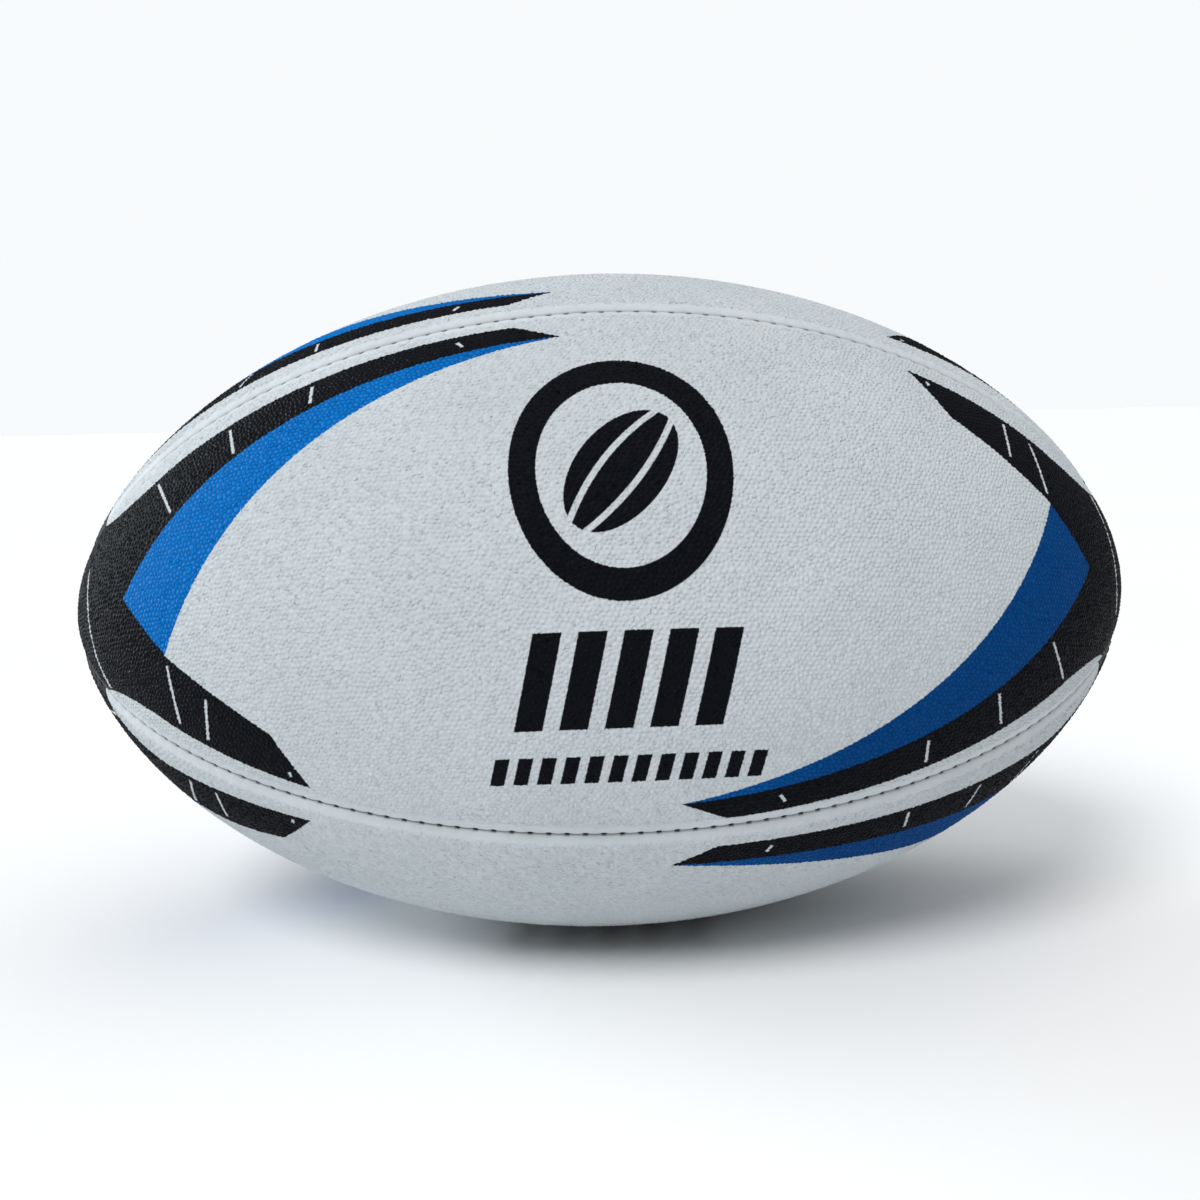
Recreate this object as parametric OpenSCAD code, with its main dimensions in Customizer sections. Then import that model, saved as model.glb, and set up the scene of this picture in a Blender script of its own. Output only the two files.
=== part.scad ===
// Rugby ball: four stitched panels of rubber grip skin on bonded cloth, round a bladder with its valve.
// Millimetres. The origin is the centre of the ball, X runs from tip to tip and Z is up.

/* [Ball] */
// Length from tip to tip
ball_length = 300; // [280:1:300]
// Diameter at the middle
ball_diameter = 185; // [180:1:197]
// Taper of the ends: 0.5 gives an ellipse, more gives more pointed ends
end_taper = 0.58; // [0.5:0.01:0.62]
// Angle that the front panel is rolled up from facing straight ahead
roll_up = 15; // [0:1:44]

/* [Panels] */
// Thickness of the rubber grip skin
skin_thickness = 1; // [0.8:0.1:1.2]
// Thickness of one cloth ply
ply_thickness = 0.4; // [0.3:0.05:0.45]
// Glue line between one layer and the next
glue_line = 0.05; // [0.05:0.01:0.1]
// Gap between two panels at their seam
seam_gap = 0.2; // [0.1:0.1:0.4]
// Depth below the surface that the turned-in seam margins reach
margin_depth = 8; // [7:0.5:10]

/* [Stitching] */
// Distance from one stitch hole to the next
stitch_pitch = 4.35; // [4.2:0.05:8]
// Diameter of the waxed thread
thread_diameter = 0.7; // [0.5:0.1:0.8]
// Distance between the two strands in one stitch hole
strand_spacing = 0.8; // [0.8:0.1:1]
// Depth of the upper strand below the surface
stitch_depth = 3.2; // [3.1:0.1:3.6]
// Radius of the ball where the stitching stops near each tip
stitch_end_radius = 14; // [14:1:40]

/* [Bladder and valve] */
// Wall of the bladder
bladder_wall = 0.5; // [0.4:0.1:1]
// Diameter of the patch under the carcass round the valve
patch_diameter = 44; // [36:1:60]
// Diameter of the flange that bonds the valve to the bladder
flange_diameter = 30; // [24:1:34]
// Diameter of the valve neck
neck_diameter = 8; // [7:0.5:9]
// Diameter of the barrel below the neck
barrel_diameter = 9.6; // [9:0.1:12]
// Diameter of the self-sealing core
core_diameter = 5; // [4:0.5:5]
// Diameter of the way through the valve for the inflating needle
needle_diameter = 2; // [1.8:0.1:2.2]
// Length of the self-sealing core
core_length = 15; // [12:1:20]

/* [Hidden] */

$fn = 96;
half_length = ball_length / 2;
middle_radius = ball_diameter / 2;
outline_step = 6;
reach = ball_diameter;

// Directions about the long axis, counted from straight down towards the back.
front_turn = -90 - roll_up;
bottom_turn = front_turn + 90;
back_turn = front_turn + 180;
top_turn = front_turn + 270;

// Depths below the surface, from the outside in.
ply_pitch = ply_thickness + glue_line;
outer_ply_depth = skin_thickness + glue_line;
middle_ply_depth = outer_ply_depth + ply_pitch;
inner_ply_depth = middle_ply_depth + ply_pitch;
carcass_depth = inner_ply_depth + ply_thickness;
patch_depth = carcass_depth + 0.1;
patch_thickness = 0.5;
bladder_depth = patch_depth + patch_thickness + 0.15;
flange_depth = bladder_depth + bladder_wall + glue_line;
flange_thickness = 1.2;

// Stitching: half the width of the stack that a stitch goes through, and the room it needs beside the seam.
stack_half = seam_gap / 2 + carcass_depth;
stitch_half = stack_half + thread_diameter / 2 + 0.02;
bladder_seam_gap = stitch_half + thread_diameter / 2 + 0.3;
thread_sides = 5;

// Valve.
neck_top_depth = 0.5;
neck_hole_radius = neck_diameter / 2 + 0.2;
neck_rounding = 0.5;
head_ring_radius = 2.5;
head_ring_half_width = 0.5;
head_ring_height = 0.3;
core_top_depth = 2;
barrel_end_depth = core_top_depth + core_length + 1.6;
core_clearance = 0.05;

// Radius of the ball, and place along it, at an angle f that runs from -90 at one tip to 90 at the other.
function radius_at(f, depth) = (middle_radius - depth) * pow(max(cos(f), 0), 2 * end_taper);
function along_at(f, depth) = (half_length - depth) * sin(f);

// Tangent of the outline, in millimetres for each degree of f.
function slope_at(f, depth) =
    [-(middle_radius - depth) * 2 * end_taper * pow(cos(f), 2 * end_taper - 1) * sin(f),
     (half_length - depth) * cos(f)] * PI / 180;

module oval(depth) {
    rotate_extrude()
        polygon([for (f = [-90:outline_step:90]) [radius_at(f, depth), along_at(f, depth)]]);
}

// A quarter of the ball round +X, with its two flat sides moved in by gap.
module quarter(depth, gap) {
    corner = gap * sqrt(2);
    intersection() {
        oval(depth);
        linear_extrude(height = ball_length + 20, center = true)
            polygon([[corner, 0], [corner + reach, reach], [corner + reach, -reach]]);
    }
}

// One layer of a panel with its seam margins turned in, facing +X.
module layer(depth, thickness) {
    fold = seam_gap / 2 + depth;
    difference() {
        quarter(depth, fold);
        quarter(depth + thickness, fold + thickness);
        oval(margin_depth);
    }
}

// A round rod along +X, between two depths below the middle of a panel.
module rod(radius, from_depth, to_depth) {
    translate([middle_radius - to_depth, 0, 0])
        rotate([0, 90, 0])
            cylinder(r = radius, h = to_depth - from_depth);
}

module layer_with_valve_hole(depth, thickness) {
    difference() {
        layer(depth, thickness);
        rod(neck_hole_radius, -5, carcass_depth + 5);
    }
}

// Lays the long axis along X and turns a child that faces +X to its place round the ball.
module placed(turn) {
    rotate([0, 90, 0])
        rotate([0, 0, turn])
            children();
}

module skin_cover(turn) {
    color("whitesmoke") placed(turn) layer(0, skin_thickness);
}

module ply(turn, depth) {
    color("wheat") placed(turn) layer(depth, ply_thickness);
}

module front_skin() { skin_cover(front_turn); }
module top_skin() { skin_cover(top_turn); }
module bottom_skin() { skin_cover(bottom_turn); }

module back_skin() {
    color("whitesmoke") placed(back_turn) layer_with_valve_hole(0, skin_thickness);
}

module front_ply_outer() { ply(front_turn, outer_ply_depth); }
module top_ply_outer() { ply(top_turn, outer_ply_depth); }
module bottom_ply_outer() { ply(bottom_turn, outer_ply_depth); }
module front_ply_middle() { ply(front_turn, middle_ply_depth); }
module top_ply_middle() { ply(top_turn, middle_ply_depth); }
module bottom_ply_middle() { ply(bottom_turn, middle_ply_depth); }
module front_ply_inner() { ply(front_turn, inner_ply_depth); }
module top_ply_inner() { ply(top_turn, inner_ply_depth); }
module bottom_ply_inner() { ply(bottom_turn, inner_ply_depth); }

module back_ply(depth) {
    color("wheat") placed(back_turn) layer_with_valve_hole(depth, ply_thickness);
}

module back_ply_outer() { back_ply(outer_ply_depth); }
module back_ply_middle() { back_ply(middle_ply_depth); }
module back_ply_inner() { back_ply(inner_ply_depth); }

// Angles of the stitch holes from the middle towards +90, each one pitch further along the seam.
function stitch_angles() =
    [for (f = stitch_pitch / 2 / norm(slope_at(0, stitch_depth));
          radius_at(f, stitch_depth) > stitch_end_radius;
          f = f + stitch_pitch / norm(slope_at(f, stitch_depth))) f];

// One ring of a strand where it turns: outward is away from the ball, across is from panel to panel.
function strand_ring(f, depth, side, lead) =
    let (
        slope = slope_at(f, depth),
        tangent = slope / norm(slope),
        along = [tangent.x, 0, tangent.y],
        outward = [tangent.y, 0, -tangent.x],
        across = [0, 1, 0],
        centre = [radius_at(f, depth), side * stitch_half, along_at(f, depth)],
        corner = lead * along + across
    )
    [for (i = [0:thread_sides - 1])
        centre + thread_diameter / 2 * (cos(360 * i / thread_sides) * corner
            + sin(360 * i / thread_sides) * outward)];

// One strand: it crosses the seam at each hole and runs along one panel's margin to the next.
module strand(first_side, depth) {
    half = stitch_angles();
    angles = concat([for (k = [len(half) - 1:-1:0]) -half[k]], half);
    rings = [
        for (k = [0:len(angles) - 1])
            let (side = (k % 2 == 0) ? first_side : -first_side)
            for (end = [side, -side]) strand_ring(angles[k], depth, end, side)
    ];
    last = len(rings) - 1;
    s = thread_sides;
    polyhedron(
        points = [for (ring = rings) for (p = ring) p],
        faces = concat(
            [[for (i = [s - 1:-1:0]) i]],
            [[for (i = [0:s - 1]) last * s + i]],
            [for (k = [0:last - 1]) for (i = [0:s - 1])
                [k * s + i, (k + 1) * s + (i + 1) % s, (k + 1) * s + i]],
            [for (k = [0:last - 1]) for (i = [0:s - 1])
                [k * s + i, k * s + (i + 1) % s, (k + 1) * s + (i + 1) % s]]
        )
    );
}

// The two strands of a saddle stitch along the seam that faces a direction.
module seam_thread(turn) {
    color("ivory") placed(turn) {
        strand(1, stitch_depth);
        strand(-1, stitch_depth + strand_spacing);
    }
}

module seam_thread_upper_front() { seam_thread(front_turn - 45); }
module seam_thread_upper_back() { seam_thread(back_turn + 45); }
module seam_thread_lower_back() { seam_thread(back_turn - 45); }
module seam_thread_lower_front() { seam_thread(front_turn + 45); }

// The bladder fills the ball: it bulges into each panel between the turned-in margins.
module bladder_form(inset) {
    oval(margin_depth + 0.2 + inset);
    for (k = [0:3])
        rotate([0, 0, 90 * k])
            quarter(bladder_depth + inset, bladder_seam_gap + inset);
}

module bladder() {
    color("dimgray") placed(back_turn) difference() {
        bladder_form(0);
        bladder_form(bladder_wall);
        rod(neck_diameter / 2 + glue_line, bladder_depth - 2, bladder_depth + 4);
    }
}

// A round piece of sheet that follows the ball, between two depths.
module curved_disc(radius, from_depth, to_depth) {
    difference() {
        intersection() {
            oval(from_depth);
            rod(radius, -5, to_depth + 10);
        }
        oval(to_depth);
    }
}

module valve_patch() {
    color("tan") placed(back_turn) difference() {
        curved_disc(patch_diameter / 2, patch_depth, patch_depth + patch_thickness);
        rod(neck_hole_radius, -5, patch_depth + 5);
    }
}

// The neck, its top edge rounded and a low ring moulded on its head round the needle's way.
module valve_neck() {
    radius = neck_diameter / 2;
    translate([middle_radius, 0, 0])
        rotate([0, 90, 0])
            rotate_extrude()
                polygon(concat(
                    [[0, -flange_depth - 1], [radius, -flange_depth - 1]],
                    [for (a = [0:15:90]) [radius - neck_rounding * (1 - cos(a)),
                                          -neck_top_depth - neck_rounding * (1 - sin(a))]],
                    [for (a = [0:20:180]) [head_ring_radius + head_ring_half_width * cos(a),
                                           -neck_top_depth + head_ring_height * sin(a)]],
                    [[0, -neck_top_depth]]));
}

module valve_stem() {
    color("darkslategray") placed(back_turn) difference() {
        union() {
            valve_neck();
            curved_disc(flange_diameter / 2, flange_depth, flange_depth + flange_thickness);
            rod(barrel_diameter / 2, flange_depth + 0.5, barrel_end_depth);
        }
        rod(core_diameter / 2 + core_clearance, core_top_depth - core_clearance,
            core_top_depth + core_length + core_clearance);
        rod(needle_diameter / 2, neck_top_depth - 1, barrel_end_depth + 1);
    }
}

module valve_core() {
    color("black") placed(back_turn) difference() {
        rod(core_diameter / 2, core_top_depth, core_top_depth + core_length);
        rod(needle_diameter / 2, core_top_depth - 1, core_top_depth + core_length + 1);
    }
}

front_skin();
top_skin();
back_skin();
bottom_skin();
front_ply_outer();
top_ply_outer();
back_ply_outer();
bottom_ply_outer();
front_ply_middle();
top_ply_middle();
back_ply_middle();
bottom_ply_middle();
front_ply_inner();
top_ply_inner();
back_ply_inner();
bottom_ply_inner();
seam_thread_upper_front();
seam_thread_upper_back();
seam_thread_lower_back();
seam_thread_lower_front();
bladder();
valve_patch();
valve_stem();
valve_core();
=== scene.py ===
"""Rugby ball: four printed grip panels stitched together over cloth, a bladder and a valve."""
import math

import bpy
import numpy as np
from mathutils import Matrix, Vector, geometry


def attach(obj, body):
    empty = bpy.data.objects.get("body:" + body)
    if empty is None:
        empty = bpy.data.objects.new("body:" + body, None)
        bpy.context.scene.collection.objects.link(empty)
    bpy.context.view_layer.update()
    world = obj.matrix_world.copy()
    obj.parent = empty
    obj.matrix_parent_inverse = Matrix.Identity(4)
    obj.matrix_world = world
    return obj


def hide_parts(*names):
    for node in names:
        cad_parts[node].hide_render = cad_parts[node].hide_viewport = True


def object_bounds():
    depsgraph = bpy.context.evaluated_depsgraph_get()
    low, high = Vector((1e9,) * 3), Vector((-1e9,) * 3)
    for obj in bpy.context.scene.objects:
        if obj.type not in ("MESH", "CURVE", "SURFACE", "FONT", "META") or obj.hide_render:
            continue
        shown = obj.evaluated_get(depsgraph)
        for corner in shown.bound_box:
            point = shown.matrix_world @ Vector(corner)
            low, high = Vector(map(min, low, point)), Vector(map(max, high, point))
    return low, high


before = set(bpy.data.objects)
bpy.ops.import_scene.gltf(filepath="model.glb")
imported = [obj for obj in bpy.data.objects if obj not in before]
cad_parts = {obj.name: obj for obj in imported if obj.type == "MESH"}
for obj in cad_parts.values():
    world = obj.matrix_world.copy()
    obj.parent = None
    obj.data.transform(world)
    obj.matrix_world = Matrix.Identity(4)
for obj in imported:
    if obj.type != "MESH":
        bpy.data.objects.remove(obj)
cad_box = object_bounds()

# ---------------------------------------------------------------- sizes, in millimetres

MM = 0.001
TIP = (cad_box[1][0] - cad_box[0][0]) / 2 / MM            # half the ball's length
BELLY = (cad_box[1][2] - cad_box[0][2]) / 2 / MM          # its radius at the middle
TAPER = 1.16                                              # 1 would be an ellipse
ROLL_UP = 15                                              # degrees that the front panel is rolled up
PANEL_TURNS = {"front": ROLL_UP, "top": ROLL_UP + 90, "back": ROLL_UP + 180, "bottom": ROLL_UP - 90}

# How far each panel's print sits off its middle, along and across.
PRINT_SHIFTS = {"front": (-0.7, -1.5), "top": (-2.0, 2.0), "back": (0.6, 0.9), "bottom": (-2.6, -1.0)}

PIMPLE_PITCH = 1.32
PIMPLE_HEIGHT = 0.27
PIMPLE_SHAKE = 0.46                                       # how far a pimple may stray, as part of the pitch
SMOOTH_BORDER = 1.9                                       # pimples begin this far from a seam
LINING_PITCH = 5.0
QUARTER = math.pi / 4                                     # half of a panel's angle round the ball
SHARP_EDGE = math.radians(55)
SKIN_THICKNESS = 1.0
STITCH_PITCH = 4.35
STITCH_DEPTH = 3.2
COLUMNS_PER_STITCH = 8
# The panel's edge rolls over into the seam: (distance from the seam's plane, depth), from the outside in.
ROLLED_EDGE = [(1.70, 0.03), (1.10, 0.08), (0.66, 0.20), (0.36, 0.42), (0.17, 0.78), (0.08, 1.30), (0.08, 2.40)]
# The margin goes on down, turns at its cut edge and comes up again to the inside of the skin.
MARGIN = [(0.08, 5.0), (0.08, 8.0), (0.58, 8.1), (1.08, 8.0), (1.08, 4.0), (1.10, 1.05)]
VALVE_HOLE = 4.2
VALVE_SIDES = 48
VALVE_AXIS = (0, math.cos(math.radians(ROLL_UP)), -math.sin(math.radians(ROLL_UP)))
# The rim round the valve: (distance from the valve's axis, depth), from the outside in.
VALVE_RIM = [(5.6, 0.0), (4.9, 0.03), (4.42, 0.14), (4.2, 0.42), (4.2, 1.00)]


# ---------------------------------------------------------------- the ball's form

angles = np.linspace(-math.pi / 2, math.pi / 2, 8001)


def outline(depth):
    """Place along the ball and radius at each angle, at a depth below the surface."""
    return (TIP - depth) * np.sin(angles), (BELLY - depth) * np.clip(np.cos(angles), 0, 1) ** TAPER


def run(depth):
    """Distance along the outline from the middle, at each angle."""
    x, r = outline(depth)
    along = np.concatenate([[0], np.cumsum(np.hypot(np.diff(x), np.diff(r)))])
    return along - np.interp(0, angles, along)


surface_x, surface_r = outline(0)
surface_run = run(0)
stitch_run = run(STITCH_DEPTH)
slope = np.gradient(surface_r, surface_run)


def radius(u):
    return np.interp(u, surface_run, surface_r)


def seam_distance(u, v):
    """Distance from the nearer seam's plane, of a point on a panel."""
    r = np.maximum(radius(u), 1e-6)
    return r * np.sin(QUARTER - np.minimum(np.abs(v) / r, QUARTER))


def stitch_distance(u):
    """Distance along the seam to the nearest stitch hole."""
    s = np.interp(u, surface_run, stitch_run) / STITCH_PITCH - 0.5
    return np.abs(s - np.round(s)) * STITCH_PITCH


def wrapped(u, v, height, turn):
    """Lays flat panel coordinates u (along) and v (across) on the ball, raised by height, in metres."""
    x = np.interp(u, surface_run, surface_x)
    r = radius(u)
    lean = np.interp(u, surface_run, slope)
    upright = np.sqrt(np.clip(1 - lean ** 2, 0, 1))
    angle = math.radians(turn) + v / np.maximum(r, 1e-6)
    out = r + upright * height
    return np.stack([x - lean * height, -out * np.cos(angle), out * np.sin(angle)], 1) * MM


def seam_pull(u, d):
    """The surface sinks towards the seam, and more where a stitch pulls it in."""
    sink = 0.40 * np.exp(-(d / 2.9) ** 2)
    pucker = 0.24 * np.exp(-(d / 1.9) ** 2) * np.exp(-(stitch_distance(u) / 0.95) ** 2)
    return -(sink + pucker)


# ---------------------------------------------------------------- the grip skin

def seam_columns():
    """Places along a seam, several to each stitch, as distances along the outline."""
    last = int(stitch_run[-1] / STITCH_PITCH * COLUMNS_PER_STITCH)
    steps = np.arange(-last, last + 1) * STITCH_PITCH / COLUMNS_PER_STITCH
    u = np.interp(np.interp(steps, stitch_run, angles), angles, surface_run)
    return u[radius(u) > 0.6]


def closing(u):
    """1 along most of a seam, and less near the tips, where there is no room for the whole edge."""
    return np.minimum(1, 0.8 * radius(u) / math.sqrt(2) / ROLLED_EDGE[0][0])


def edge_row(u, side, distance, depth, rolled_part):
    """A row of points beside a seam. Near the tips the rows close up, so that they never cross."""
    r = radius(u)
    upright = np.sqrt(np.clip(1 - np.interp(u, surface_run, slope) ** 2, 0, 1))
    closed = closing(u)
    rolled = ROLLED_EDGE[-1][1]
    deep = min(depth, rolled) * np.minimum(1, r / 9) + max(depth - rolled, 0) * np.minimum(1, r / 40)
    hole = np.exp(-(stitch_distance(u) / 0.50) ** 2) * (r > 13)
    near = math.exp(-(distance / 0.45) ** 2) if rolled_part else 0
    d = (distance + 0.30 * hole * near) * closed
    height = -deep - 0.30 * hole * near
    if rolled_part:
        height = height + seam_pull(u, d)
    inner = np.maximum(r + height * upright, 1e-6)
    v = side * r * (QUARTER - np.arcsin(np.minimum(d / inner, 0.69)))
    return u, v, height


def room(u, border):
    """How far from the seam's plane points stay. It closes up near the tips."""
    return border * closing(u)


def lattice(spacing, end, border):
    """Points of a triangular lattice over the panel."""
    across = spacing * math.sqrt(3) / 2
    rows = int(BELLY * QUARTER / across) + 2
    columns = int(end / spacing) + rows
    j, i = np.mgrid[-rows:rows + 1, -columns:columns + 1]
    u, v = ((i + j / 2) * spacing).ravel(), (j * across).ravel()
    keep = (np.abs(u) < end) & (np.abs(v) < radius(u) * QUARTER) & (seam_distance(u, v) > room(u, border))
    return np.stack([u[keep], v[keep]], 1)


def triangles_of(places):
    """The triangles that join flat places to their neighbours."""
    found = geometry.delaunay_2d_cdt([Vector(p) for p in places], [], [], 0, 1e-5)
    return np.array([old[0] for old in found[3]])[np.array(found[2])]


def pimpled_field(rng, end, with_valve):
    """The outside between the rolled edges: places, heights, tops of pimples and dirty pits between them."""
    border = ROLLED_EDGE[0][0] + 0.55
    clear = VALVE_RIM[0][0] + 0.6 if with_valve else 0
    tops = lattice(PIMPLE_PITCH, end, border + 0.25)
    tops = tops[np.hypot(*tops.T) >= clear + 0.3]
    loose = np.clip((seam_distance(*tops.T) - SMOOTH_BORDER) / 1.5, 0, 1)
    loose = loose * np.clip((np.hypot(*tops.T) - clear) / 3, 0, 1)
    turn = rng.uniform(0, 2 * math.pi, len(tops))
    shake = PIMPLE_PITCH * PIMPLE_SHAKE * np.sqrt(rng.uniform(0, 1, len(tops))) * loose
    tops = tops + np.stack([np.cos(turn), np.sin(turn)], 1) * shake[:, None]

    # Each pimple settles halfway to the middle of its neighbours, then a pit lies between every three.
    cells = triangles_of(tops)
    total, number = np.zeros_like(tops), np.zeros(len(tops))
    for k in range(3):
        for other in (1, 2):
            np.add.at(total, cells[:, k], tops[cells[:, (k + other) % 3]])
            np.add.at(number, cells[:, k], 1)
    tops = tops + (total / np.maximum(number, 1)[:, None] - tops) * (0.5 * loose)[:, None]
    pits = tops[triangles_of(tops)].mean(axis=1)
    u, v = pits.T
    pits = pits[(seam_distance(u, v) > room(u, border)) & (np.abs(v) < radius(u) * QUARTER)
                & (np.hypot(u, v) >= clear)]

    places = np.concatenate([tops, pits])
    d = seam_distance(*places.T)
    fade = np.clip((d - SMOOTH_BORDER) / 2.2, 0, 1)
    if with_valve:
        fade = fade * np.clip((np.hypot(*places.T) - 6.4) / 1.8, 0, 1)
    top = np.concatenate([rng.uniform(0.65, 1.15, len(tops)), rng.uniform(-0.15, 0.12, len(pits))])
    pit = np.concatenate([np.zeros(len(tops)), np.clip(rng.uniform(-1.2, 1.0, len(pits)), 0, 1)])
    return places, top * PIMPLE_HEIGHT * fade + seam_pull(places[:, 0], d), top, pit


def filled(places, border, inner, hole_radius=None):
    """Triangles over the area inside a border, turned to face out, less a round hole in its middle."""
    used = np.array(border + inner)
    found = geometry.delaunay_2d_cdt([Vector(p) for p in places[used]], [], [list(range(len(border)))], 1, 1e-5)
    source = np.array([used[old[0]] for old in found[3]])
    cells = source[np.array(found[2])]
    a, b, c = (places[cells[:, k]] for k in range(3))
    turned = np.cross(b - a, c - a) < 0
    cells[turned] = cells[turned][:, ::-1]
    if hole_radius:
        cells = cells[np.hypot(*((a + b + c) / 3).T) > hole_radius * math.cos(math.pi / VALVE_SIDES)]
    return cells


def between(first, second, closed=False):
    """Triangles between two rows of points of the same length."""
    a, b = np.array(first), np.array(second)
    a2, b2 = (np.roll(a, -1), np.roll(b, -1)) if closed else (a[1:], b[1:])
    if not closed:
        a, b = a[:-1], b[:-1]
    return np.concatenate([np.stack([a, a2, b2], 1), np.stack([a, b2, b], 1)])


def panel_sheet(seed, with_valve):
    """One grip skin with its margins, as a closed solid: flat places, heights, triangles and values."""
    rng = np.random.default_rng(seed)
    u = seam_columns()
    profile = ROLLED_EDGE + MARGIN
    blocks, rows, count = [], {}, 0

    def add(places, height, outside, top=0.5, pit=0.0):
        nonlocal count
        values = [np.broadcast_to(np.asarray(value, float), len(places)) for value in (height, outside, top, pit)]
        blocks.append((places, *values))
        count += len(places)
        return list(range(count - len(places), count))

    for side in (-1, 1):
        for k, (distance, depth) in enumerate(profile):
            row_u, row_v, height = edge_row(u, side, distance, depth, k < len(ROLLED_EDGE))
            # Near the tips, where the margins are shallow, they are printed too.
            printed = 1 if k < len(ROLLED_EDGE) - 1 else np.clip((14 - radius(row_u)) / 5, 0, 1)
            rows[side, k] = add(np.stack([row_u, row_v], 1), height, printed)
    end = u.max() - 0.4
    places, height, top, pit = pimpled_field(rng, end, with_valve)
    field = add(places, height, 1, top, pit)
    places = lattice(LINING_PITCH, end, 2.6)
    if with_valve:
        places = places[np.hypot(*places.T) > VALVE_HOLE + 1.5]
    lining = add(places, -SKIN_THICKNESS * np.minimum(1, radius(places[:, 0]) / 9), 0)
    rims = []
    if with_valve:
        turns = np.linspace(0, 2 * math.pi, VALVE_SIDES, endpoint=False)
        for distance, depth in VALVE_RIM:
            circle = distance * np.stack([np.cos(turns), np.sin(turns)], 1)
            rims.append(add(circle, -depth, depth < VALVE_RIM[-1][1]))
    places, height, outside, top, pit = (np.concatenate(part) for part in zip(*blocks))

    faces = []
    last = len(profile) - 1
    for side in (-1, 1):
        for k in range(last):
            strip = between(rows[side, k], rows[side, k + 1])
            faces.append(strip if side > 0 else strip[:, ::-1])
    for tip in (0, -1):
        chain = [rows[-1, k][tip] for k in range(last + 1)] + [rows[1, k][tip] for k in range(last, -1, -1)]
        half = len(chain) // 2
        cap = between(chain[:half], chain[:half - 1:-1])
        faces.append(cap if tip else cap[:, ::-1])
    hole = VALVE_RIM[0][0] if with_valve else None
    faces.append(filled(places, rows[-1, 0] + rows[1, 0][::-1], field + (rims[0] if rims else []), hole))
    hole = VALVE_RIM[-1][0] if with_valve else None
    inside = filled(places, rows[-1, last] + rows[1, last][::-1], lining + (rims[-1] if rims else []), hole)
    faces.append(inside[:, ::-1])
    for k in range(len(rims) - 1):
        faces.append(between(rims[k], rims[k + 1], closed=True))
    return places, height, np.concatenate(faces), {"outside": outside, "pimple": top, "pit": pit}


def new_piece(name, points, faces):
    """A smooth-shaded piece from points in metres and triangles."""
    mesh = bpy.data.meshes.new(name)
    mesh.vertices.add(len(points))
    mesh.vertices.foreach_set("co", np.asarray(points, np.float32).ravel())
    mesh.loops.add(faces.size)
    mesh.loops.foreach_set("vertex_index", faces.astype(np.int32).ravel())
    mesh.polygons.add(len(faces))
    mesh.polygons.foreach_set("loop_start", np.arange(0, faces.size, faces.shape[1], dtype=np.int32))
    mesh.update(calc_edges=True)
    mesh.validate()
    mesh.shade_smooth()
    mesh.set_sharp_from_angle(angle=SHARP_EDGE)
    piece = bpy.data.objects.new(name, mesh)
    bpy.context.scene.collection.objects.link(piece)
    return piece


def skin_panel(side, sheet, mirrored, material):
    """One grip skin, with its print's flat coordinates in millimetres as a UV map."""
    places, height, faces, values = sheet
    piece = new_piece(f"{side}_grip_skin", wrapped(*places.T, height, PANEL_TURNS[side]), faces)
    mesh = piece.data
    corner = np.empty(len(mesh.loops), np.int32)
    mesh.loops.foreach_get("vertex_index", corner)
    printed = places - np.array(PRINT_SHIFTS[side])
    flat = (printed * [1, -1 if mirrored else 1])[corner]
    mesh.uv_layers.new(name="panel").data.foreach_set("uv", flat.astype(np.float32).ravel())
    values = {**values, "seam": seam_distance(*places.T), "stitch": stitch_distance(places[:, 0]),
              "margin": seam_distance(*printed.T)}
    for name, value in values.items():
        mesh.attributes.new(name, "FLOAT", "POINT").data.foreach_set("value", value.astype(np.float32))
    mesh.materials.append(material)
    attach(piece, "root")
    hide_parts(f"{side}_skin")


# ---------------------------------------------------------------- materials

class Value:
    """A number that changes over a surface. Arithmetic on it adds Math nodes."""

    def __init__(self, paint, socket):
        self.paint, self.socket = paint, socket

    def maths(self, operation, *others, clamp=False):
        return self.paint.maths(operation, self, *others, clamp=clamp)

    def __add__(self, other):
        return self.maths("ADD", other)

    __radd__ = __add__

    def __sub__(self, other):
        return self.maths("SUBTRACT", other)

    def __rsub__(self, other):
        return self.paint.maths("SUBTRACT", other, self)

    def __mul__(self, other):
        return self.maths("MULTIPLY", other)

    __rmul__ = __mul__

    def __truediv__(self, other):
        return self.maths("DIVIDE", other)

    def __neg__(self):
        return self * -1

    def __abs__(self):
        return self.maths("ABSOLUTE")

    def __pow__(self, other):
        return self.maths("POWER", other)

    def least(self, other):
        return self.maths("MINIMUM", other)

    def most(self, other):
        return self.maths("MAXIMUM", other)

    def held(self):
        """Kept between 0 and 1."""
        return self.maths("ADD", 0, clamp=True)


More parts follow.
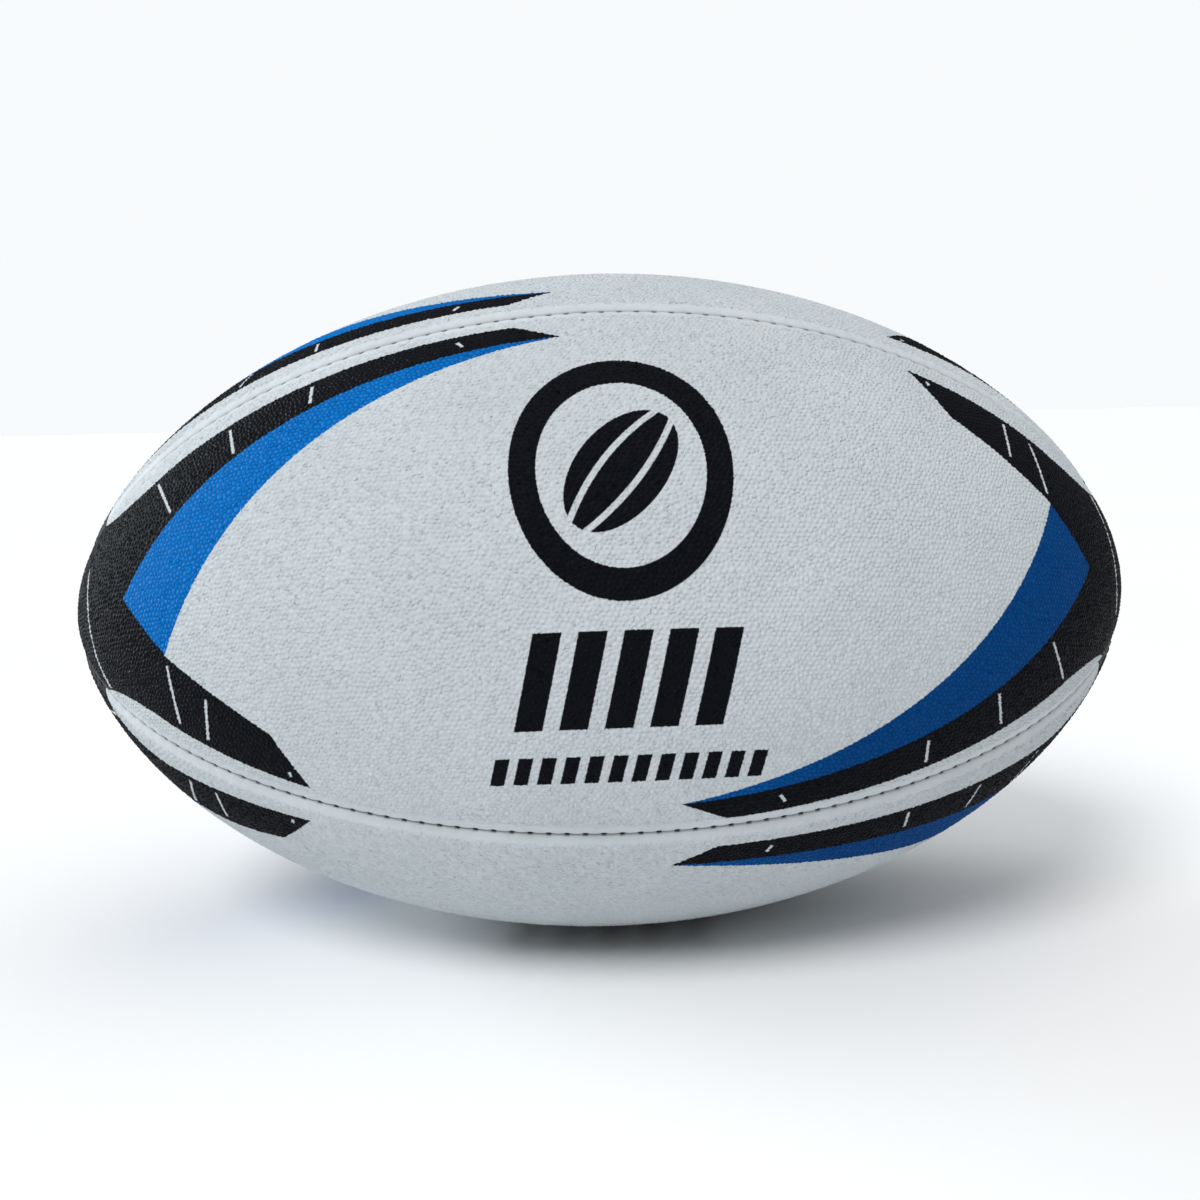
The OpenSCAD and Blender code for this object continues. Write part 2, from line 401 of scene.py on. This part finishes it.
class Paint:
    """A material's node tree, with one method that adds any node."""

    def __init__(self, name, **constants):
        self.material = bpy.data.materials.new(name)
        self.material.use_nodes = True
        self.tree = self.material.node_tree
        self.shader = next(n for n in self.tree.nodes if n.type == "BSDF_PRINCIPLED")
        for socket, value in constants.items():
            self.shader.inputs[socket.replace("_", " ")].default_value = value

    def node(self, kind, settings=None, inputs=None):
        made = self.tree.nodes.new(kind)
        for key, value in (settings or {}).items():
            setattr(made, key, value)
        for key, value in (inputs or {}).items():
            self.feed(made.inputs[key], value)
        return made

    def feed(self, socket, value):
        if isinstance(value, Value):
            value = value.socket
        if isinstance(value, bpy.types.NodeSocket):
            self.tree.links.new(value, socket)
        else:
            socket.default_value = value

    def maths(self, operation, *values, clamp=False):
        made = self.node("ShaderNodeMath", {"operation": operation, "use_clamp": clamp}, dict(enumerate(values)))
        return Value(self, made.outputs[0])

    def attribute(self, name):
        return Value(self, self.node("ShaderNodeAttribute", {"attribute_name": name}).outputs["Fac"])

    def place(self, uv_map=None):
        """Object coordinates, or the piece's own flat coordinates."""
        if uv_map:
            return self.node("ShaderNodeUVMap", {"uv_map": uv_map}).outputs[0]
        return self.node("ShaderNodeTexCoord").outputs["Object"]

    def parts(self, vector):
        outputs = self.node("ShaderNodeSeparateXYZ", None, {0: vector}).outputs
        return [Value(self, outputs[k]) for k in range(3)]

    def noise(self, place, scale, detail=2.0, rough=0.5):
        made = self.node("ShaderNodeTexNoise", None,
                         {"Vector": place, "Scale": scale, "Detail": detail, "Roughness": rough})
        return Value(self, made.outputs["Fac"])

    def mix(self, factor, first, second):
        """A colour between two colours."""
        made = self.node("ShaderNodeMix", {"data_type": "RGBA"})
        self.feed(made.inputs[0], factor)
        self.feed(made.inputs[6], first)
        self.feed(made.inputs[7], second)
        return made.outputs[2]

    def bump(self, height, distance, strength=1.0, under=None):
        inputs = {"Height": height, "Distance": distance, "Strength": strength}
        if under is not None:
            inputs["Normal"] = under
        return self.node("ShaderNodeBump", None, inputs).outputs[0]

    def finish(self, **surface):
        for socket, value in surface.items():
            self.feed(self.shader.inputs[socket.replace("_", " ")], value)
        return self.material


def rgb(red, green, blue):
    return (red, green, blue, 1.0)


def length(x, y):
    return (x * x + y * y) ** 0.5


def inside(distance, soft=0.22):
    """1 where distance is below 0, with an edge as soft as a printed one."""
    return (0.5 - distance / soft).held()


def beyond(a, b, x, y):
    """Signed distance from the line through a and b, positive to the right of the way from a to b."""
    dx, dy = b[0] - a[0], b[1] - a[1]
    size = math.hypot(dx, dy)
    return (x - a[0]) * (dy / size) - (y - a[1]) * (dx / size)


def dash(a, b, width, x, y):
    """Signed distance from a straight dash with square ends."""
    dx, dy = b[0] - a[0], b[1] - a[1]
    size = math.hypot(dx, dy)
    mid = ((a[0] + b[0]) / 2, (a[1] + b[1]) / 2)
    along = (x - mid[0]) * (dx / size) + (y - mid[1]) * (dy / size)
    across = (x - mid[0]) * (dy / size) - (y - mid[1]) * (dx / size)
    return (abs(along) - size / 2).most(abs(across) - width / 2)


def slanted_blocks(x, y, middle, half_height, pitch, half_width, count):
    """Signed distance from a row of leaning blocks."""
    leaning = x - (y - middle) * 0.22
    half = 0.5 if count % 2 == 0 else 0
    nearest = (leaning / pitch + half).maths("ROUND") - half
    beside = abs(leaning - nearest * pitch) - half_width
    ends = abs(leaning) - count * pitch / 2
    return beside.most(abs(y - middle) - half_height).most(ends)


def ball_in_ring(x, y, middle, size):
    """Signed distance from an upright oval ring with a slanted ball in it, split by two curved slits."""
    x, up = x / size, (y - middle) / size
    outer = (length(x / 26, up / 31) - 1) * 28
    ring = abs(outer + 3.4) - 3.4
    slant = math.radians(52)
    along = x * math.cos(slant) + up * math.sin(slant)
    across = up * math.cos(slant) - x * math.sin(slant)
    ball = (length(along / 17.5, across / 10.5) - 1) * 13
    slits = 0.75 - abs(abs(across) + along * along * 0.008 - 4.6)
    return ring.least(ball.most(slits)) * size


def printed_bands(x, y, margin):
    """Masks of the black bands, the blue bands and the thin white lines on the black.

    The print is the same after half a turn of the panel, so it is drawn on one half, with a running
    from the middle to the tip and h across, and folded over."""
    a = abs(x)
    h = y * x.maths("SIGN") * -1
    white_arc = length(a + 22, h + 100) - 165
    blue_arc = length(a + 3, h + 126) - 188
    blue_foot = beyond((118.4, -17), (136.7, 0), a, h)
    short_horn = beyond((88, -38.2), (118.4, -17), a, h).least(beyond((78.6, -53.6), (88, -38.2), a, h))
    long_tip = beyond((14.1, 62.2), (23, 66.4), a, h)
    widening = 4.9 + (a - 25).most(0) ** 1.6 * 0.0033
    rounded = 11.5 * (1 - ((a - 127).most(0) / 27) ** 2).most(0) ** 0.5 - 1.2
    clear = (margin - widening.least(rounded)).least(long_tip)
    black = white_arc.least(blue_arc.most(blue_foot)).most(short_horn).least(clear)
    under = 0.25                                  # the blue runs this far on under the black
    blue = white_arc.least(under - blue_arc).least(under - blue_foot).least(clear)
    thin = (abs(length(a - 116, h - 7) - 44) - 0.4).most(abs(h + 6) - 17).most(130 - a)
    for start, stop in (((36.5, 60.2), (37.9, 62.2)), ((76, 46.8), (76, 53.2)), ((97.7, 34.4), (100, 43.2)),
                        ((117.8, 20.4), (124.6, 30.6)), ((119.4, -18.6), (117.1, -34.4)),
                        ((106.8, -28.2), (107.8, -39.4)), ((83.8, -49.2), (83.4, -50.6))):
        thin = thin.least(dash(start, stop, 0.85, a, h))
    return inside(-black), inside(-blue), inside(thin)


def printed_rubber(name, mark):
    """White grip rubber printed in black and blue; mark gives the distance from the middle mark."""
    paint = Paint(name, IOR=1.16, Specular_IOR_Level=0.24)
    place = paint.place("panel")
    x, y, _ = paint.parts(place)
    keys = ("seam", "stitch", "outside", "pimple", "pit")
    seam, stitch, outside, top, pit = (paint.attribute(key) for key in keys)
    ragged = (paint.noise(place, 1.4, 1.0) - 0.5) * 0.42
    black, blue, thin = printed_bands(x + ragged, y + ragged, paint.attribute("margin") + ragged)
    black = (black * (1 - thin)).most(inside(mark(x + ragged, y + ragged)))

    top = top.held()
    pebbles = top * top * (3 - 2 * top)
    plain = ((seam - SMOOTH_BORDER) / 2.0).held() * outside
    broad = paint.noise(place, 0.035, 3.0, 0.6)
    patches = paint.noise(place, 0.09, 3.0, 0.6)
    grit = paint.noise(place, 2.6, 2.0, 0.6)
    dirt = (pit * 1.7 - 0.3).held() * plain
    # The gaps between pebbles: shade is painted into the white and the blue there, and the rubber is rougher.
    gaps = (1 - pebbles * 2.6).held() * plain

    white = paint.mix(((broad - 0.35) * 2).held(), rgb(0.575, 0.625, 0.655), rgb(0.64, 0.685, 0.71))
    # Painted shade in the gaps between the pebbles.
    white = paint.mix(gaps * 0.18, white, rgb(0.36, 0.385, 0.40))
    dirty = ((patches - 0.44) * 2.4).held() * 0.34 + 0.05
    white = paint.mix((dirt * dirty).held(), white, rgb(0.24, 0.24, 0.235))
    # Painted shade: the blue darkens towards the print's +x end, as on the side turned from the light.
    painted_end_shade = (x / 110 + 0.5).held()
    blue_ink = paint.mix(painted_end_shade, rgb(0.0008, 0.215, 0.70), rgb(0.0001, 0.069, 0.255))
    # Painted shade in the gaps between the pebbles darkens the blue, together with random tone from the grit.
    blue_ink = paint.mix((grit * 0.30 + gaps * 0.45).held(), blue_ink, rgb(0.0004, 0.022, 0.11))
    black_ink = paint.mix(grit * 0.8, rgb(0.0026, 0.0029, 0.0046), rgb(0.0074, 0.0084, 0.0120))
    colour = paint.mix(blue, white, blue_ink)
    colour = paint.mix(black, colour, black_ink)

    ink = black.most(blue)
    near_seam = (1 - seam / 2.6).held() * ((patches - 0.30) * 2.2).held() * (1 - ink * 0.9)
    colour = paint.mix(near_seam * 0.30, colour, rgb(0.27, 0.22, 0.155))
    # Painted shade deep in the seam's groove.
    groove = (1 - seam / 0.34).held()
    shade = paint.mix(ink, rgb(0.10, 0.085, 0.066), rgb(0.004, 0.004, 0.004))
    colour = paint.mix(groove * 0.55, colour, shade)
    # Painted shade in the stitch holes, darker at some holes than at others.
    holes = ((1 - stitch / 0.80).held() * (1 - seam / 0.64).held() * 4).held() * (0.50 + grit * 0.8).held()
    colour = paint.mix(holes, colour, rgb(0.010, 0.008, 0.006))
    colour = paint.mix(outside, paint.mix(grit, rgb(0.42, 0.40, 0.36), rgb(0.52, 0.50, 0.45)), colour)

    roughness = 0.46 - ink * 0.10 + (grit - 0.5) * 0.26 + gaps * 0.14 + groove * 0.25
    fine = paint.noise(place, 5.5, 3.0, 0.65)
    normal = paint.bump(pebbles * plain + fine * 0.20, 0.00034, 1.0)
    return paint.finish(Base_Color=colour, Roughness=roughness, Normal=normal)


def front_mark(x, y):
    """The generic mark of the front panel: a ball in a ring over two rows of leaning blocks."""
    return ball_in_ring(x, y, 20.5, 1).least(block_rows(x, y))


def back_mark(x, y):
    """The back panel has a smaller ring, which leaves the valve clear."""
    return ball_in_ring(x, y, 34, 0.68).least(block_rows(x, y))


def block_rows(x, y):
    """Five leaning blocks over twelve small ones."""
    return slanted_blocks(x, y, -28.5, 11.5, 10.4, 3.3, 5).least(slanted_blocks(x, y, -50.5, 3.6, 5.5, 1.7, 12))


def side_mark(x, y):
    """The generic mark of the top and bottom panels: one row of leaning blocks."""
    return slanted_blocks(x, y, 0, 12.5, 12.0, 3.9, 5)


def woven_cloth(name, light, dark, turn):
    """Rubber-coated plain weave, its threads at an angle to the ball's length."""
    paint = Paint(name)
    turned = {"Vector": paint.place(), "Rotation": (0, 0, math.radians(turn))}
    place = paint.node("ShaderNodeMapping", None, turned)
    x, y, z = paint.parts(place.outputs[0])
    pitch = 2 * math.pi / 0.0011
    warp = (x * pitch).maths("SINE") * ((y + z) * (pitch / 2)).maths("SINE")
    weft = ((y + z) * pitch).maths("SINE") * (x * (pitch / 2)).maths("SINE")
    weave = (warp.most(weft) * 0.5 + 0.5).held()
    stain = paint.noise(paint.place(), 35.0, 4.0, 0.6)
    colour = paint.mix(weave, dark, light)
    colour = paint.mix((stain - 0.45).held() * 0.9, colour, rgb(0.30, 0.24, 0.15))
    normal = paint.bump(weave + stain * 0.3, 0.00025, 0.8)
    return paint.finish(Base_Color=colour, Roughness=0.78 + (stain - 0.5) * 0.2, Normal=normal)


def moulded_rubber(name, base, pale, rough):
    """Rubber with a fine mould grain and a dusting of chalk."""
    paint = Paint(name)
    place = paint.place()
    dust = paint.noise(place, 60.0, 4.0, 0.65)
    grain = paint.noise(place, 1500.0, 2.0, 0.6)
    colour = paint.mix(((dust - 0.42) * 2.4).held() * 0.55, base, pale)
    normal = paint.bump(grain + dust * 0.6, 0.00006, 0.7)
    return paint.finish(Base_Color=colour, Roughness=rough + (dust - 0.5) * 0.3 + grain * 0.06, Normal=normal)


def valve_rubber(name, axis):
    """Moulded rubber, rubbed paler on the ring of its head, with painted shade down the needle's way."""
    paint = Paint(name, Specular_IOR_Level=0.35)
    place = paint.place()
    x, y, z = paint.parts(place)
    along = x * axis[0] + y * axis[1] + z * axis[2]
    away = length(length(x - along * axis[0], y - along * axis[1]), z - along * axis[2]) / MM
    ring = (1 - abs(away - 2.5) / 0.6).held()
    grain = paint.noise(place, 1500.0, 2.0, 0.6)
    dust = paint.noise(place, 260.0, 4.0, 0.65)
    worn = (ring * 0.35 + ((dust - 0.45) * 2).held() * 0.5).held()
    colour = paint.mix(worn, rgb(0.009, 0.009, 0.010), rgb(0.060, 0.060, 0.058))
    # Painted shade down the needle's way through the valve.
    colour = paint.mix(((1.15 - away) / 0.2).held(), colour, rgb(0.002, 0.002, 0.002))
    normal = paint.bump(grain + dust * 0.5, 0.00005, 0.8)
    return paint.finish(Base_Color=colour, Roughness=0.42 + (dust - 0.5) * 0.3 + ring * 0.08, Normal=normal)


def waxed_thread(name):
    """Twisted, waxed polyester, its strands lying slantwise."""
    paint = Paint(name)
    x, y, z = paint.parts(paint.place())
    twist = ((x + y * 0.7 + z * 0.7) * (2 * math.pi / 0.0006)).maths("SINE") * 0.5 + 0.5
    grime = paint.noise(paint.place(), 220.0, 3.0)
    colour = paint.mix(twist, rgb(0.46, 0.41, 0.31), rgb(0.66, 0.61, 0.50))
    colour = paint.mix((grime - 0.4).held() * 0.9, colour, rgb(0.20, 0.15, 0.10))
    return paint.finish(Base_Color=colour, Roughness=0.5 + grime * 0.2, Normal=paint.bump(twist, 0.00012, 0.8))


# ---------------------------------------------------------------- build

print_front = printed_rubber("printed_rubber_front", front_mark)
print_side = printed_rubber("printed_rubber_side", side_mark)
print_back = printed_rubber("printed_rubber_back", back_mark)
whole_sheet = panel_sheet(11, False)
valve_sheet = panel_sheet(12, True)
skin_panel("front", whole_sheet, False, print_front)
skin_panel("top", whole_sheet, True, print_side)
skin_panel("back", valve_sheet, False, print_back)
skin_panel("bottom", whole_sheet, True, print_side)

finishes = {
    "ply_outer": woven_cloth("outer_cloth", rgb(0.62, 0.57, 0.45), rgb(0.34, 0.29, 0.20), 45),
    "ply_middle": woven_cloth("middle_cloth", rgb(0.58, 0.53, 0.42), rgb(0.31, 0.27, 0.19), 0),
    "ply_inner": woven_cloth("inner_cloth", rgb(0.55, 0.50, 0.39), rgb(0.30, 0.25, 0.17), -45),
    "seam_thread": waxed_thread("waxed_thread"),
    "bladder": moulded_rubber("bladder_rubber", rgb(0.012, 0.012, 0.014), rgb(0.10, 0.10, 0.10), 0.42),
    "valve_patch": moulded_rubber("patch_rubber", rgb(0.30, 0.19, 0.10), rgb(0.45, 0.34, 0.22), 0.66),
    "valve_stem": valve_rubber("valve_rubber", VALVE_AXIS),
    "valve_core": moulded_rubber("core_rubber", rgb(0.018, 0.018, 0.020), rgb(0.07, 0.07, 0.07), 0.38),
}
for node_name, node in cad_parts.items():
    for key, material in finishes.items():
        if key in node_name:
            node.data.materials.clear()
            node.data.materials.append(material)

# ---------------------------------------------------------------- floor, light and camera

floor_z = cad_box[0][2]
bpy.ops.object.select_all(action="DESELECT")
bpy.ops.mesh.primitive_plane_add(size=40, location=(0, 0, floor_z - 0.0003))
floor = bpy.context.object
floor.name = "floor"
floor_paint = Paint("pale_floor", Roughness=0.9)
floor_tone = floor_paint.noise(floor_paint.place(), 3.0, 2.0)
floor.data.materials.append(floor_paint.finish(
    Base_Color=floor_paint.mix(floor_tone, rgb(0.90, 0.905, 0.91), rgb(0.93, 0.935, 0.94))))


def soft_sun(name, way, spread, strength, tint=(1, 1, 1)):
    """Even light from one direction, as from a wide soft box far off."""
    lamp = bpy.data.lights.new(name, "SUN")
    lamp.angle = math.radians(spread)
    lamp.energy = strength
    lamp.color = tint
    holder = bpy.data.objects.new(name, lamp)
    holder.rotation_euler = Vector(way).to_track_quat("-Z", "Y").to_euler()
    bpy.context.scene.collection.objects.link(holder)


soft_sun("key_light", (0.40, 0.60, -0.82), 26, 1.76)
soft_sun("window_light", (0.86, -0.45, -0.25), 28, 1.80, (0.86, 0.95, 1.0))
soft_sun("top_light", (-0.22, 0.05, -1.0), 70, 0.92)

world = bpy.data.worlds.new("studio")
bpy.context.scene.world = world
world.use_nodes = True
sky = world.node_tree
backdrop = sky.nodes["Background"]
backdrop.inputs[0].default_value = rgb(0.96, 0.98, 1.0)
rays = sky.nodes.new("ShaderNodeLightPath")
level = sky.nodes.new("ShaderNodeMapRange")
level.inputs["To Min"].default_value = 0.29
level.inputs["To Max"].default_value = 0.975
sky.links.new(rays.outputs["Is Camera Ray"], level.inputs["Value"])
sky.links.new(level.outputs[0], backdrop.inputs[1])


def look_from(distance, yaw, elevation, lean, aim, focal):
    """A camera at an angle to the ball, leaned a little to one side."""
    yaw, elevation = math.radians(yaw), math.radians(elevation)
    across = math.cos(elevation)
    back = Vector((-math.sin(yaw) * across, -math.cos(yaw) * across, math.sin(elevation)))
    lens = bpy.data.cameras.new("camera")
    lens.lens = focal
    lens.sensor_width = 36
    lens.clip_start = 0.01
    holder = bpy.data.objects.new("camera", lens)
    turn = (-back).to_track_quat("-Z", "Y").to_matrix().to_4x4()
    leaned = turn @ Matrix.Rotation(math.radians(lean), 4, "Z")
    holder.matrix_world = Matrix.Translation(aim + back * distance) @ leaned
    bpy.context.scene.collection.objects.link(holder)
    bpy.context.scene.camera = holder


look_from(0.4017, 3.03, 7.82, -1.45, Vector((-0.002, 0, 0)), 41.27)
bpy.context.scene.view_settings.view_transform = "Standard"
